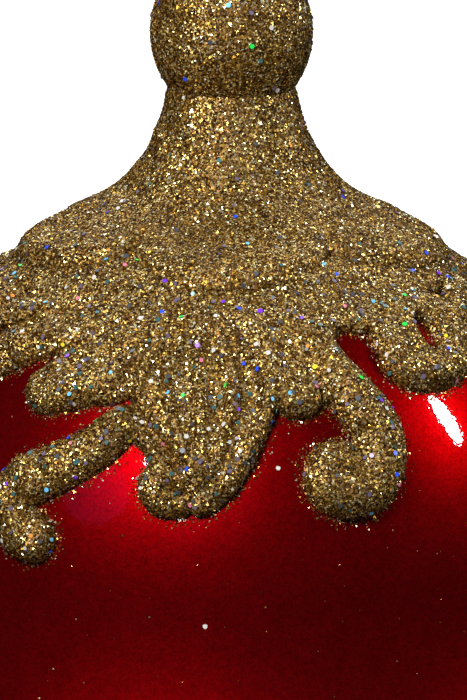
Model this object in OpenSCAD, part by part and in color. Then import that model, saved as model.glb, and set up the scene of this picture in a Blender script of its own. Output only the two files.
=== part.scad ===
// Christmas bell ornament: a red bell with a gold acanthus crown, a ball finial and a hanging clapper.
// Millimetres, +Z up. The origin is where a hook bears, inside the top of the hanging ring.

/* [Bell shell] */
// Radius of the round dome, outside
dome_r = 63; // [52:0.5:76]
// Wall thickness of the shell
shell_wall = 2.2; // [1.6:0.1:3]
// Radius of the hollow curve that flares the waist out to the lip
waist_curve_r = 95; // [85:1:115]
// Angle that the waist curve turns through before the lip
waist_turn = 36.9; // [30:0.1:40]
// Height of the straight stretch between dome and waist
straight_h = 3; // [1:0.5:6]
// Thickness of the bead that trims the lip
lip_bead = 6.4; // [5:0.2:8]

/* [Crown] */
// Height of the crown's top face above the top of the dome
crown_h = 18; // [16:0.5:21]
// Radius of the crown's neck at its top
neck_r = 11.6; // [11:0.1:13]
// Radius where the neck has flared out onto the collar
neck_foot_r = 31.7; // [29:0.1:33]
// Wall thickness of the hollow crown
crown_wall = 2; // [1.5:0.1:2.5]
// Number of scallops round the collar
scallops = 5; // [4:1:7]
// Radius of each scallop's own circle
scallop_r = 18.5; // [17:0.1:19.5]
// Distance from the bell's axis to each scallop's centre
scallop_out = 22; // [21:0.1:23]
// Thickness of the collar's rounded edge
collar_h = 5.4; // [4.6:0.1:5.6]
// Azimuth of the first scallop, seen from above, from the front
scallop_az = 0; // [-15:0.5:15]

/* [Finial] */
// Half width of the ball
ball_r = 14.5; // [13:0.1:17.5]
// Half height of the ball
ball_half_h = 15.8; // [15:0.1:18]
// Wall thickness of the ball's two halves
ball_wall = 1.6; // [1.2:0.1:2]

/* [Stem and fasteners] */
// Radius of the threaded stem that holds the stack together
stem_r = 2; // [1.5:0.05:2.5]
// Radial clearance round the stem
stem_clear = 0.2; // [0.1:0.05:0.3]
// Hole radius of the eye on top of the stem
eye_hole_r = 2.9; // [2.4:0.1:3.6]
// Wire radius of that eye
eye_wire_r = 1.3; // [1:0.1:1.5]
// Mean radius of the hanging ring
ring_r = 8.5; // [8:0.1:12]
// Wire radius of the hanging ring
ring_wire_r = 1.1; // [0.8:0.1:1.2]

/* [Clapper] */
// Radius of the clapper ball
clapper_r = 15; // [12:0.5:16]
// Height of the clapper ball's centre above the lip
clapper_rise = 5; // [2:0.5:12]
// Radius of the clapper's rod
rod_r = 1.5; // [1.2:0.1:1.8]
// Clearance where one wire eye bears on another
eye_clear = 0.15; // [0.1:0.05:0.3]

/* [Leaf castings] */
// Azimuth of the first leaf's centre line, seen from above, from the front
motif_az = 0; // [-10:1:10]
// Gap between the castings and the dome, which the glue fills
glue_gap = 0.1; // [0.05:0.05:0.2]

/* [Hidden] */
$fn = 96;
join = 0.01;
third_turn = 120;

// stack along the axis, heights above the dome's equator
crown_top = dome_r + crown_h;
stem_hole_r = stem_r + stem_clear;
dome_inner_r = dome_r - shell_wall;
boss_r = stem_r + 5;
boss_h = 2.5;
boss_z = dome_inner_r - boss_h;
washer_h = 1.2;
nut_h = 3.2;
nut_af = 3.5 * stem_r;
thread_gap = 0.05;
nut_z = boss_z - washer_h - nut_h;
plug_r = stem_r + 4;
plug_clear = 0.1;
plug_sink = 2.5;
plug_h = 5.5;
ball_sunk = 0.685;
ball_z = crown_top + ball_sunk * ball_half_h;
cap_h = 1.5;
cap_top = ball_z + ball_half_h + cap_h;
cap_sheet = 0.8;
cap_r = stem_r + 4.2;
cap_gap = 0.05;
cap_low = ball_z + ball_half_h * sqrt(1 - pow((cap_r - cap_sheet) / ball_r, 2)) + cap_gap;
tube_wall = 1;
flange_r = stem_r + 1.4;
flange_h = 1.2;
eye_z = cap_top + flange_h - 0.2 + eye_wire_r * 2 + eye_hole_r - 0.4;
ring_hinge_z = eye_z + eye_hole_r - eye_clear - ring_wire_r;
ring_z = ring_hinge_z + ring_r;
hook_z = ring_z + ring_r - ring_wire_r;

// lower eye, link and clapper, each hanging in the one above
lower_eye_hole_r = 2.8;
lower_eye_wire_r = 1.2;
sleeve_r = stem_r + 1.4;
sleeve_h = 8.4;
sleeve_top = nut_z - 0.9;
sleeve_z = sleeve_top - sleeve_h;
stem_end_z = sleeve_z + 2;
lower_eye_z = sleeve_z - lower_eye_hole_r - 2 * lower_eye_wire_r + 0.6;
link_hinge_z = lower_eye_z - lower_eye_hole_r - lower_eye_wire_r;
link_wire_r = 0.9;
link_hole_r = 3.6;
link_r = link_hole_r + link_wire_r;
link_z = link_hinge_z + lower_eye_wire_r + eye_clear - link_hole_r;
clapper_hinge_z = link_z - link_r;
rod_eye_hole_r = 2.8;
rod_eye_wire_r = 1.1;
rod_eye_z = clapper_hinge_z + link_wire_r + eye_clear - rod_eye_hole_r;
rod_eye_low = rod_eye_z - rod_eye_hole_r - 2 * rod_eye_wire_r;
ferrule_r = rod_r + 1.7;
ferrule_h = 3;
ferrule_seat = 0.4;
end_nut_h = 3.4;
rod_below = 2.5;
ball_bore_gap = 0.05;

// collar and its seat on the dome
collar_seat_r = scallop_out + 12.8;
collar_z = sqrt(dome_r * dome_r - collar_seat_r * collar_seat_r);
collar_edge_r = collar_h / 2;
cavity_low = dome_r - 2.5;
cavity_high = crown_top - 5;
leaf_inset = 1.5;
lat_fit = acos((scallop_out + scallop_r - leaf_inset) / dome_r) / acos(39 / 63);

// bell profile
waist_x = dome_r + waist_curve_r;
lip_x = waist_x - waist_curve_r * cos(waist_turn);
lip_z = -straight_h - waist_curve_r * sin(waist_turn);
clapper_drop = -lip_z - clapper_rise;

function arc(cx, cz, r, a0, a1, n) =
    [for (i = [0:n]) let (a = a0 + (a1 - a0) * i / n) [cx + r * cos(a), cz + r * sin(a)]];
function bezier(p, t) =
    pow(1 - t, 3) * p[0] + 3 * pow(1 - t, 2) * t * p[1] + 3 * (1 - t) * t * t * p[2] + pow(t, 3) * p[3];

// Everything is drawn from the dome's equator, then set down below the hook.
module from_hook() {
    translate([0, 0, -hook_z]) children();
}

module wire_ring(mean_r, wire_r) {
    rotate([90, 0, 0]) rotate_extrude() translate([mean_r, 0]) circle(wire_r, $fn = 32);
}

module tube(r_out, r_in, h) {
    difference() {
        cylinder(h = h, r = r_out);
        translate([0, 0, -1]) cylinder(h = h + 2, r = r_in);
    }
}

module hanging_ring() {
    color("gold") from_hook() translate([0, 0, ring_z]) wire_ring(ring_r, ring_wire_r);
}

module hanger_eye() {
    color("goldenrod") from_hook() {
        translate([0, 0, eye_z]) rotate([0, 0, 90]) wire_ring(eye_hole_r + eye_wire_r, eye_wire_r);
        translate([0, 0, cap_top]) cylinder(h = flange_h, r = flange_r);
        translate([0, 0, stem_end_z]) cylinder(h = cap_top - stem_end_z + join, r = stem_r);
    }
}

module top_cap() {
    color("gold") from_hook() rotate_extrude() polygon([
        [stem_hole_r, cap_top - cap_sheet], [cap_r - cap_sheet, cap_top - cap_sheet],
        [cap_r - cap_sheet, cap_low], [cap_r, cap_low],
        [cap_r, cap_top - 0.5], [cap_r - 0.5, cap_top], [stem_hole_r, cap_top]]);
}

function ball_curve(inset, a0, a1, n) =
    [for (i = [0:n]) let (a = a0 + (a1 - a0) * i / n)
        [(ball_r - inset) * cos(a), ball_z + (ball_half_h - inset) * sin(a)]];

module finial_upper_half() {
    open_r = stem_hole_r + tube_wall + 0.4;
    lap = 2.5;
    top_out = acos(open_r / ball_r);
    top_in = acos(open_r / (ball_r - ball_wall));
    step_r = ball_r - ball_wall - 0.1;
    color("goldenrod") from_hook() rotate_extrude() polygon(concat(
        ball_curve(0, 0, top_out, 20), ball_curve(ball_wall, top_in, 8, 18),
        [[step_r - 1.2, ball_z - lap], [step_r - 0.3, ball_z - lap], [step_r - 0.1, ball_z]]));
}

module finial_lower_half() {
    low_out = asin((crown_top - ball_z) / ball_half_h);
    floor_z = crown_top + ball_wall;
    low_in = asin((floor_z - ball_z) / (ball_half_h - ball_wall));
    color("goldenrod") from_hook() rotate_extrude() polygon(concat(
        ball_curve(0, low_out, 0, 16), ball_curve(ball_wall, 0, low_in, 14),
        [[plug_r + plug_clear, floor_z], [plug_r + plug_clear, crown_top]]));
}

module spacer_tube() {
    low_z = crown_top - plug_sink + plug_h;
    color("silver") from_hook() translate([0, 0, low_z])
        tube(stem_hole_r + tube_wall, stem_hole_r, cap_top - cap_sheet - low_z);
}

module locating_plug() {
    color("burlywood") from_hook() translate([0, 0, crown_top - plug_sink])
        tube(plug_r, stem_hole_r, plug_h);
}

// The neck's outline runs down and out along one curve, from its top edge to the collar.
neck_curve = [[neck_r, crown_top], [neck_r * 1.3, crown_top - 16.6],
              [neck_foot_r - 8.2, collar_z + collar_h + 3.3], [neck_foot_r, collar_z + collar_h - 0.1]];

module crown() {
    steps = 24;
    outline = [for (i = [0:steps]) bezier(neck_curve, i / steps)];
    inside = [for (p = outline) if (p[1] < cavity_high && p[1] > cavity_low) [p[0] - crown_wall, p[1]]];
    color("goldenrod") from_hook() difference() {
        union() {
            rotate_extrude() polygon(concat(
                [[0, crown_top]], outline, [[neck_foot_r, collar_z + 1], [0, collar_z + 1]]));
            for (i = [0:scallops - 1]) rotate([0, 0, i * 360 / scallops + scallop_az - 90])
                translate([scallop_out, 0, collar_z]) rotate_extrude() union() {
                    square([scallop_r - collar_edge_r, collar_h]);
                    translate([scallop_r - collar_edge_r, collar_edge_r]) intersection() {
                        circle(collar_edge_r, $fn = 48);
                        translate([0, -collar_edge_r]) square([collar_edge_r, collar_h]);
                    }
                }
        }
        sphere(dome_r + glue_gap);
        rotate_extrude() polygon(concat(
            [[0, cavity_high]], [[inside[0][0], cavity_high]], inside,
            [[inside[len(inside) - 1][0], cavity_low], [0, cavity_low]]));
        translate([0, 0, dome_r - 1]) cylinder(h = crown_top - dome_r + 2, r = stem_hole_r);
        translate([0, 0, crown_top - plug_sink]) cylinder(h = plug_sink + 1, r = plug_r + plug_clear);
    }
}

module bell_shell() {
    hole_a = acos(stem_hole_r / dome_r);
    boss_a = acos(boss_r / dome_inner_r);
    color("firebrick") from_hook() rotate_extrude() polygon(concat(
        arc(0, 0, dome_r, hole_a, 0, 40),
        arc(waist_x, -straight_h, waist_curve_r, 180, 180 + waist_turn, 20),
        arc(waist_x, -straight_h, waist_curve_r + shell_wall, 180 + waist_turn, 180, 20),
        arc(0, 0, dome_inner_r, 0, boss_a, 36),
        [[boss_r, boss_z], [stem_hole_r, boss_z]]));
}

// A round bead with a slot in its top, pushed up over the shell's lip.
module lip_band() {
    slot_gap = 0.1;
    slot_deep = 3;
    color("goldenrod") from_hook() rotate_extrude() translate([lip_x, lip_z]) rotate(waist_turn)
        difference() {
            translate([-shell_wall / 2, -1]) circle(lip_bead / 2, $fn = 48);
            translate([-shell_wall - slot_gap, 0]) square([shell_wall + 2 * slot_gap, slot_deep + 2]);
        }
}

// A bead is a ball half sunk in the dome, [azimuth, latitude, radius]. A stroke is a run of beads,
// and a web fills the space between a few of them.
function on_dome(p) = let (lat = p[1] * lat_fit)
    dome_r * [cos(lat) * sin(p[0]), -cos(lat) * cos(p[0]), sin(lat)];

module bead(p) {
    translate(on_dome(p)) sphere(p[2], $fn = 12);
}

module stroke(beads) {
    for (i = [0:len(beads) - 2]) hull() {
        bead(beads[i]);
        bead(beads[i + 1]);
    }
}

module web(hub, rim) {
    for (i = [0:len(rim) - 2]) hull() {
        bead(hub);
        bead(rim[i]);
        bead(rim[i + 1]);
    }
}

// fan leaf: webs from two hubs on its spine to its rim, with a rib out to every scallop of the rim
fan_root = [-7, 51, 2.4];
fan_heart = [-7, 34, 3.2];
fan_rim = [[-16, 46, 2.4], [-20.5, 37, 2.8], [-16, 29.5, 2.8], [-10.5, 22.5, 2.8], [-7, 16.5, 2.8],
           [-2.5, 18.5, 3.4], [2.5, 25.5, 3.6], [7.5, 33, 3.4], [9.5, 41, 2.8], [5, 47.5, 2.4]];
small_lobe = [[7, 39, 3], [11, 35, 3.4], [12.5, 33.5, 3.4]];
curl = [[-13.5, 20.5, 2.4], [-12.5, 17, 3], [-7.5, 15.5, 3]];
finger_root = [-17, 50, 2.4];
finger_low = [[-16, 43, 3.6], [-25, 38, 4], [-32, 34.5, 4], [-38, 32.5, 3.4]];
finger_high = [[-30, 50, 2.5], [-36, 46, 3], [-42, 43, 3.1], [-48, 39.5, 3], [-52, 36, 2.4]];
left_scroll = [[-17, 36, 2.2], [-20, 31, 2.6], [-26, 26, 2.9], [-31, 23, 3.3], [-36, 20, 3.7],
               [-39.5, 16.5, 3.8], [-40.5, 12.5, 3.8], [-38.5, 9, 3.6], [-34.5, 8, 3.4]];

// the scrolls to the fan's right
root_leaf = [[13, 51, 2.3], [24, 51, 2.4], [34, 50.5, 2.4], [45, 51, 2.4], [54, 50, 2.6]];
root_leaf_low = [[15, 46, 2.4], [26, 46.5, 3], [36, 47, 2.6], [45, 51, 2.4]];
right_scroll = [[17, 46, 2.6], [18.5, 42, 3], [23, 39, 3.4], [26, 35, 3.8], [28, 30.5, 4], [27.5, 25.5, 4.2],
                [25.5, 21, 4.6], [21.5, 19.5, 5.6], [18, 20.5, 4.4]];
ring_scroll = [[54, 50, 2.6], [58.5, 45.5, 2.8], [56, 40.5, 3], [49, 37, 3], [42, 36, 3],
               [38.5, 38.5, 3], [38, 42, 3], [36, 47, 2.6]];

module leaf_casting(turn) {
    color("goldenrod") from_hook() rotate([0, 0, turn + motif_az]) difference() {
        union() {
            web(fan_root, [fan_rim[0], fan_heart, fan_rim[9]]);
            web(fan_heart, fan_rim);
            for (tip = fan_rim) stroke([tip[1] > fan_heart[1] ? fan_root : fan_heart, tip]);
            web(finger_root, [fan_rim[0], finger_low[0], finger_low[1], finger_high[1], finger_high[0]]);
            for (line = [small_lobe, curl, finger_low, finger_high, left_scroll]) stroke(line);
        }
        sphere(dome_r + glue_gap, $fn = 180);
    }
}

module scroll_casting(turn) {
    color("goldenrod") from_hook() rotate([0, 0, turn + motif_az]) difference() {
        union() {
            web(root_leaf_low[1], [root_leaf[0], root_leaf[1], root_leaf[2], root_leaf_low[2]]);
            web(root_leaf[0], [root_leaf_low[0], root_leaf_low[1]]);
            for (line = [root_leaf, root_leaf_low, right_scroll, ring_scroll]) stroke(line);
        }
        sphere(dome_r + glue_gap, $fn = 180);
    }
}

module leaf_front() { leaf_casting(0); }
module leaf_right() { leaf_casting(third_turn); }
module leaf_left() { leaf_casting(-third_turn); }
module scroll_front() { scroll_casting(0); }
module scroll_right() { scroll_casting(third_turn); }
module scroll_left() { scroll_casting(-third_turn); }

module inner_washer() {
    color("silver") from_hook() translate([0, 0, boss_z - washer_h])
        tube(boss_r - 0.5, stem_hole_r, washer_h);
}

module inner_nut() {
    color("silver") from_hook() translate([0, 0, nut_z]) difference() {
        cylinder(h = nut_h, d = nut_af / cos(30), $fn = 6);
        translate([0, 0, -1]) cylinder(h = nut_h + 2, r = stem_r + thread_gap);
    }
}

module lower_eye() {
    color("silver") from_hook() difference() {
        union() {
            translate([0, 0, sleeve_z]) cylinder(h = sleeve_h, r = sleeve_r);
            translate([0, 0, lower_eye_z]) wire_ring(lower_eye_hole_r + lower_eye_wire_r, lower_eye_wire_r);
        }
        translate([0, 0, stem_end_z]) cylinder(h = sleeve_h, r = stem_r + thread_gap);
    }
}

module clapper_link() {
    color("silver") from_hook() translate([0, 0, link_z]) rotate([0, 0, 90]) wire_ring(link_r, link_wire_r);
}

module clapper_stem() {
    color("silver") from_hook() {
        translate([0, 0, rod_eye_z]) wire_ring(rod_eye_hole_r + rod_eye_wire_r, rod_eye_wire_r);
        translate([0, 0, -clapper_drop - clapper_r - rod_below])
            cylinder(h = rod_eye_low + rod_eye_wire_r + clapper_drop + clapper_r + rod_below, r = rod_r);
    }
}

module clapper_collar() {
    color("gold") from_hook() translate([0, 0, clapper_r - clapper_drop - ferrule_seat])
        tube(ferrule_r, rod_r + ball_bore_gap, ferrule_h);
}

module clapper_ball() {
    color("goldenrod") from_hook() translate([0, 0, -clapper_drop]) difference() {
        sphere(clapper_r);
        translate([0, 0, -clapper_r - 1]) cylinder(h = 2 * clapper_r + 2, r = rod_r + ball_bore_gap);
        for (side = [0, 180]) rotate([side, 0, 0]) translate([0, 0, clapper_r - ferrule_seat])
            cylinder(h = 2, r = ferrule_r + 0.4);
    }
}

module clapper_nut() {
    color("gold") from_hook() translate([0, 0, -clapper_drop - clapper_r + ferrule_seat - end_nut_h])
        difference() {
            cylinder(h = end_nut_h, r = ferrule_r);
            translate([0, 0, end_nut_h - ferrule_seat - rod_below - join])
                cylinder(h = end_nut_h, r = rod_r + ball_bore_gap);
        }
}

hanging_ring();
hanger_eye();
top_cap();
finial_upper_half();
finial_lower_half();
spacer_tube();
locating_plug();
crown();
bell_shell();
lip_band();
leaf_front();
leaf_right();
leaf_left();
scroll_front();
scroll_right();
scroll_left();
inner_washer();
inner_nut();
lower_eye();
clapper_link();
clapper_stem();
clapper_collar();
clapper_ball();
clapper_nut();
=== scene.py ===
import math

import bpy
import numpy as np
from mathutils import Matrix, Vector


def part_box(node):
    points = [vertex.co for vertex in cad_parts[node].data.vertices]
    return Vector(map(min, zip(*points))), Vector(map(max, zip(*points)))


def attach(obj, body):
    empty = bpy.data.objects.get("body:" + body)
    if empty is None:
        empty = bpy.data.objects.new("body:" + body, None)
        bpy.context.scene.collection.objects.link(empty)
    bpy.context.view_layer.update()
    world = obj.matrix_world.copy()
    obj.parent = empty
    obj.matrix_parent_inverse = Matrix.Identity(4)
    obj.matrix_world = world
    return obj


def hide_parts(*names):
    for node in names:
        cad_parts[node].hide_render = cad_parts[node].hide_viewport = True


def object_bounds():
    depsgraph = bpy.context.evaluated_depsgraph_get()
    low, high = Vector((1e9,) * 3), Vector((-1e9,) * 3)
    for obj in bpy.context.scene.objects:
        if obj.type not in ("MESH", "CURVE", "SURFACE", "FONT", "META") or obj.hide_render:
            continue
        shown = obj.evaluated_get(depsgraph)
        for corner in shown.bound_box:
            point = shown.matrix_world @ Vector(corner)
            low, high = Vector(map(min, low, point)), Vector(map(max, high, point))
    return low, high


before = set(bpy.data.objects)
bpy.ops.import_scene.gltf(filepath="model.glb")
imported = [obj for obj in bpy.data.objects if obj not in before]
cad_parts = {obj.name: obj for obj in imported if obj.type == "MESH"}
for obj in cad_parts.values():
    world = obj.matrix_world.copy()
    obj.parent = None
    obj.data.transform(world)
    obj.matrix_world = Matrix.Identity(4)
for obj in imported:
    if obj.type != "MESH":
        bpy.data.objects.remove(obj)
cad_low, cad_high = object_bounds()

# Bell shell. A moulded plastic bell, open below, with a flat boss inside under its top hole.
# It is silvered, then dipped in clear red lacquer, so its colour lies deep under a wet gloss.
# All is drawn in millimetres from the dome's equator, and set into the frame by the crown's top.
MM = 0.001
dome_r = 63.0
crown_h = 18.0
crown_top = dome_r + crown_h
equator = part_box("crown")[1].z / MM - crown_top
wall = 2.2
straight_h = 3.0
waist_r = 95.0
waist_turn = 36.9
stem_hole_r = 2.2
boss_r = 7.0
boss_h = 2.5
boss_low = dome_r - wall - boss_h
shell_steps = 360


def solid(name, points, faces, body, slot, finishes, node=None, pick=None, smooth=True, sharp=40):
    """A closed mesh that rides a body. Faces are an array, or several with unlike corner counts."""
    groups = faces if isinstance(faces, list) else [faces]
    mesh = bpy.data.meshes.new(name)
    placed = (np.asarray(points, float) + (0, 0, equator)) * MM
    corners = np.concatenate([g.ravel() for g in groups])
    counts = np.concatenate([np.full(len(g), g.shape[1]) for g in groups])
    mesh.vertices.add(len(placed))
    mesh.vertices.foreach_set("co", placed.ravel())
    mesh.loops.add(len(corners))
    mesh.loops.foreach_set("vertex_index", corners.astype(np.int32))
    mesh.polygons.add(len(counts))
    mesh.polygons.foreach_set("loop_start", (np.cumsum(counts) - counts).astype(np.int32))
    mesh.update(calc_edges=True)
    if smooth:
        mesh.polygons.foreach_set("use_smooth", np.ones(len(counts), bool))
        mesh.set_sharp_from_angle(angle=math.radians(sharp))
    else:
        mesh.polygons.foreach_set("use_smooth", np.zeros(len(counts), bool))
    for finish in finishes:
        mesh.materials.append(finish)
    if pick is not None:
        mesh.polygons.foreach_set("material_index", pick.astype(np.int32))
    piece = bpy.data.objects.new(name, mesh)
    bpy.context.scene.collection.objects.link(piece)
    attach(piece, body)
    if node:
        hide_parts(node)
    return piece


def grid_faces(rows, columns, rows_close=True, columns_close=True):
    """Quads of a grid of points stored row by row, closed round in either direction or both.
    They face outward where the columns run up and the rows run anticlockwise, seen from above."""
    i = np.arange(rows if rows_close else rows - 1)[:, None]
    j = np.arange(columns if columns_close else columns - 1)[None, :]
    i2, j2 = (i + 1) % rows, (j + 1) % columns
    a, b = i * columns + j, i * columns + j2
    c, d = i2 * columns + j2, i2 * columns + j
    return np.stack(np.broadcast_arrays(a, d, c, b), -1).reshape(-1, 4)


def lathe(outline, steps):
    """A closed outline of (radius, height), turned round the axis. It runs up its outer side."""
    r, z = np.array(outline, float).T
    turn = np.radians(np.arange(steps) * 360 / steps)
    x = r[None, :] * np.cos(turn)[:, None]
    y = r[None, :] * np.sin(turn)[:, None]
    points = np.stack((x, y, np.broadcast_to(z, x.shape)), -1).reshape(-1, 3)
    return points, grid_faces(steps, len(outline))


def arc(centre_r, centre_z, radius, start, end, steps):
    """Points (radius, height) along an arc, from one angle in degrees to another."""
    turn = np.radians(np.linspace(start, end, steps))
    return list(zip(centre_r + radius * np.cos(turn), centre_z + radius * np.sin(turn)))


def add(tree, kind, inputs=(), **settings):
    """A shader node with its settings and inputs. An input that is a socket is linked."""
    made = tree.nodes.new(kind)
    for key, value in settings.items():
        setattr(made, key, value)
    for key, value in dict(inputs).items():
        if isinstance(value, bpy.types.NodeSocket):
            tree.links.new(value, made.inputs[key])
        else:
            made.inputs[key].default_value = value
    return made


def finish_of(name, colour, metallic, roughness, **more):
    """A material with one Principled shader. A value may be a function that makes a socket."""
    made = bpy.data.materials.new(name)
    made.use_nodes = True
    tree = made.node_tree
    shader = tree.nodes["Principled BSDF"]
    values = {"Base Color": colour, "Metallic": metallic, "Roughness": roughness}
    values.update({key.replace("_", " "): value for key, value in more.items()})
    for key, value in values.items():
        value = value(tree) if callable(value) else value
        if isinstance(value, bpy.types.NodeSocket):
            tree.links.new(value, shader.inputs[key])
        else:
            shader.inputs[key].default_value = (*value, 1) if isinstance(value, tuple) else value
    return made


def ramp(tree, factor, *stops):
    """A colour ramp from (position, colour) stops, driven by a socket."""
    made = add(tree, "ShaderNodeValToRGB", {"Fac": factor})
    elements = made.color_ramp.elements
    while len(elements) < len(stops):
        elements.new(0.5)
    for element, (position, colour) in zip(elements, stops):
        element.position = position
        element.color = (*colour, 1)
    return made.outputs["Color"]


def cells(tree, scale):
    """Random cells through the material, so many to a metre: each has a colour of its own."""
    place = add(tree, "ShaderNodeTexCoord").outputs["Object"]
    return add(tree, "ShaderNodeTexVoronoi", {"Vector": place, "Scale": scale}).outputs["Color"]


def clouds(tree, scale, detail=2.0):
    """Soft noise through the material, from 0 to 1, so many swells to a metre."""
    place = add(tree, "ShaderNodeTexCoord").outputs["Object"]
    made = add(tree, "ShaderNodeTexNoise", {"Vector": place, "Scale": scale, "Detail": detail})
    return made.outputs["Fac"]


def lacquer_colour(tree):
    """A deep red that swells a little, with the fine grain of the silvering under it."""
    deep = ramp(tree, clouds(tree, 200.0), (0.3, (0.225, 0.0, 0.001)), (0.7, (0.26, 0.0, 0.002)))
    grain = ramp(tree, cells(tree, 3600.0), (0.1, (0.70, 0.70, 0.70)), (0.9, (1.3, 1.3, 1.3)))
    return add(tree, "ShaderNodeMix", {0: 1.0, 6: deep, 7: grain}, data_type="RGBA",
               blend_type="MULTIPLY").outputs[2]


def lacquer_roughness(tree):
    """The silvering's own soft sheen, under the clear coat."""
    return ramp(tree, clouds(tree, 900.0), (0.3, (0.38,) * 3), (0.7, (0.44,) * 3))


def orange_peel(tree):
    """The clear coat's own unevenness, which breaks up the edges of its highlights."""
    swells = clouds(tree, 1300.0, 1.0)
    return add(tree, "ShaderNodeBump", {"Height": swells, "Distance": 1.4e-5}).outputs[0]


red_lacquer = finish_of("red_lacquer", lacquer_colour, 0.85, lacquer_roughness,
                        Specular_IOR_Level=0.0, Specular_Tint=(1.0, 0.0, 0.0), Coat_Weight=1.0,
                        Coat_Roughness=0.03, Coat_Normal=orange_peel)

hole_angle = math.degrees(math.acos(stem_hole_r / dome_r))
boss_angle = math.degrees(math.acos(boss_r / (dome_r - wall)))
waist_out = dome_r + waist_r
shell_outline = (
    arc(waist_out, -straight_h, waist_r, 180 + waist_turn, 180, 48)
    + arc(0, 0, dome_r, 0, hole_angle, 112)
    + [(stem_hole_r, boss_low), (boss_r, boss_low)]
    + arc(0, 0, dome_r - wall, boss_angle, 0, 80)
    + arc(waist_out, -straight_h, waist_r + wall, 180, 180 + waist_turn, 36)
)
shell_points, shell_faces = lathe(shell_outline, shell_steps)
solid("bell_shell_lacquered", shell_points, shell_faces, "bell", "red_lacquer", [red_lacquer],
      "bell_shell")

# Gold glitter. Fine metal grains pressed into gold paint while it is wet, with a few coarse
# hexagonal flakes. The paint between them is broken up by its own cells, each tilted its own way.
grain_finishes = [
    finish_of("grain_umber", (0.052, 0.018, 0.001), 0.7, 0.42),
    finish_of("grain_bronze", (0.24, 0.110, 0.009), 0.8, 0.34),
    finish_of("grain_gold", (0.64, 0.365, 0.050), 0.85, 0.32),
    finish_of("grain_straw", (0.98, 0.76, 0.24), 0.85, 0.32),
    finish_of("grain_white", (1.0, 0.95, 0.66), 0.8, 0.34),
]
grain_shares = [0.38, 0.25, 0.13, 0.13, 0.11]
flake_finishes = [
    finish_of("flake_slate", (0.085, 0.090, 0.105), 0.2, 0.35),
    finish_of("flake_teal", (0.050, 0.150, 0.150), 0.2, 0.35),
    finish_of("flake_violet_grey", (0.190, 0.150, 0.230), 0.2, 0.35),
    finish_of("flake_silver", (0.90, 0.88, 0.80), 0.3, 0.30),
    finish_of("flake_blue", (0.03, 0.10, 1.00), 0.1, 0.30),
    finish_of("flake_violet", (0.25, 0.05, 0.85), 0.1, 0.30),
    finish_of("flake_sky", (0.18, 0.62, 0.95), 0.1, 0.30),
    finish_of("flake_green", (0.02, 0.90, 0.10), 0.1, 0.30),
    finish_of("flake_yellow", (1.00, 0.85, 0.03), 0.1, 0.30),
    finish_of("flake_orange", (1.00, 0.36, 0.06), 0.1, 0.30),
    finish_of("flake_pink", (0.90, 0.25, 0.38), 0.1, 0.30),
]
flake_shares = [0.29, 0.17, 0.20, 0.14, 0.05, 0.03, 0.04, 0.02, 0.02, 0.02, 0.02]

paint = bpy.data.node_groups.new("glitter coat", "ShaderNodeTree")
for socket, start in (("Grains per Metre", 4300.0), ("Tilt", 1.1)):
    made = paint.interface.new_socket(socket, in_out="INPUT", socket_type="NodeSocketFloat")
    made.default_value = start
for socket, kind in (("Color", "NodeSocketColor"), ("Roughness", "NodeSocketFloat"),
                     ("Normal", "NodeSocketVector")):
    paint.interface.new_socket(socket, in_out="OUTPUT", socket_type=kind)
paint_in = add(paint, "NodeGroupInput")
paint_out = add(paint, "NodeGroupOutput")
paint_place = add(paint, "ShaderNodeTexCoord").outputs["Object"]
paint_cells = add(paint, "ShaderNodeTexVoronoi",
                  {"Vector": paint_place, "Scale": paint_in.outputs[0]})
chance = add(paint, "ShaderNodeSeparateColor", {"Color": paint_cells.outputs["Color"]})
paint_colour = ramp(paint, chance.outputs[0], (0.0, (0.040, 0.013, 0.001)),
                    (0.4, (0.140, 0.061, 0.006)), (0.72, (0.34, 0.178, 0.025)),
                    (0.88, (0.79, 0.51, 0.11)), (0.97, (1.0, 0.90, 0.45)))
patches = add(paint, "ShaderNodeTexNoise",
              {"Vector": paint_place, "Scale": 220.0, "Detail": 3.0})
patch_shade = ramp(paint, patches.outputs["Fac"], (0.3, (0.72, 0.70, 0.66)),
                   (0.7, (1.2, 1.2, 1.2)))
shaded = add(paint, "ShaderNodeMix", {0: 1.0, 6: paint_colour, 7: patch_shade}, data_type="RGBA",
             blend_type="MULTIPLY")
paint.links.new(shaded.outputs[2], paint_out.inputs["Color"])
rough = add(paint, "ShaderNodeMapRange",
            {"Value": chance.outputs[1], "To Min": 0.28, "To Max": 0.55})
paint.links.new(rough.outputs["Result"], paint_out.inputs["Roughness"])
centred = add(paint, "ShaderNodeVectorMath",
              {0: paint_cells.outputs["Color"], 1: (0.5, 0.5, 0.5)}, operation="SUBTRACT")
tilted = add(paint, "ShaderNodeVectorMath",
             {0: centred.outputs[0], "Scale": paint_in.outputs[1]}, operation="SCALE")
facing = add(paint, "ShaderNodeNewGeometry").outputs["Normal"]
leaning = add(paint, "ShaderNodeVectorMath", {0: facing, 1: tilted.outputs[0]},
              operation="ADD")
unit = add(paint, "ShaderNodeVectorMath", {0: leaning.outputs[0]}, operation="NORMALIZE")
paint.links.new(unit.outputs[0], paint_out.inputs["Normal"])


def glitter_finish(name, grains_per_metre, tilt):
    """Gold glitter paint, with cells of a size and a tilt of its own."""
    made = finish_of(name, (0.2, 0.1, 0.03), 0.55, 0.4)
    tree = made.node_tree
    coat = add(tree, "ShaderNodeGroup", node_tree=paint)
    coat.inputs["Grains per Metre"].default_value = grains_per_metre
    coat.inputs["Tilt"].default_value = tilt
    shader = tree.nodes["Principled BSDF"]
    for output, socket in (("Color", "Base Color"), ("Roughness", "Roughness"),
                           ("Normal", "Normal")):
        tree.links.new(coat.outputs[output], shader.inputs[socket])
    return made


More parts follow.
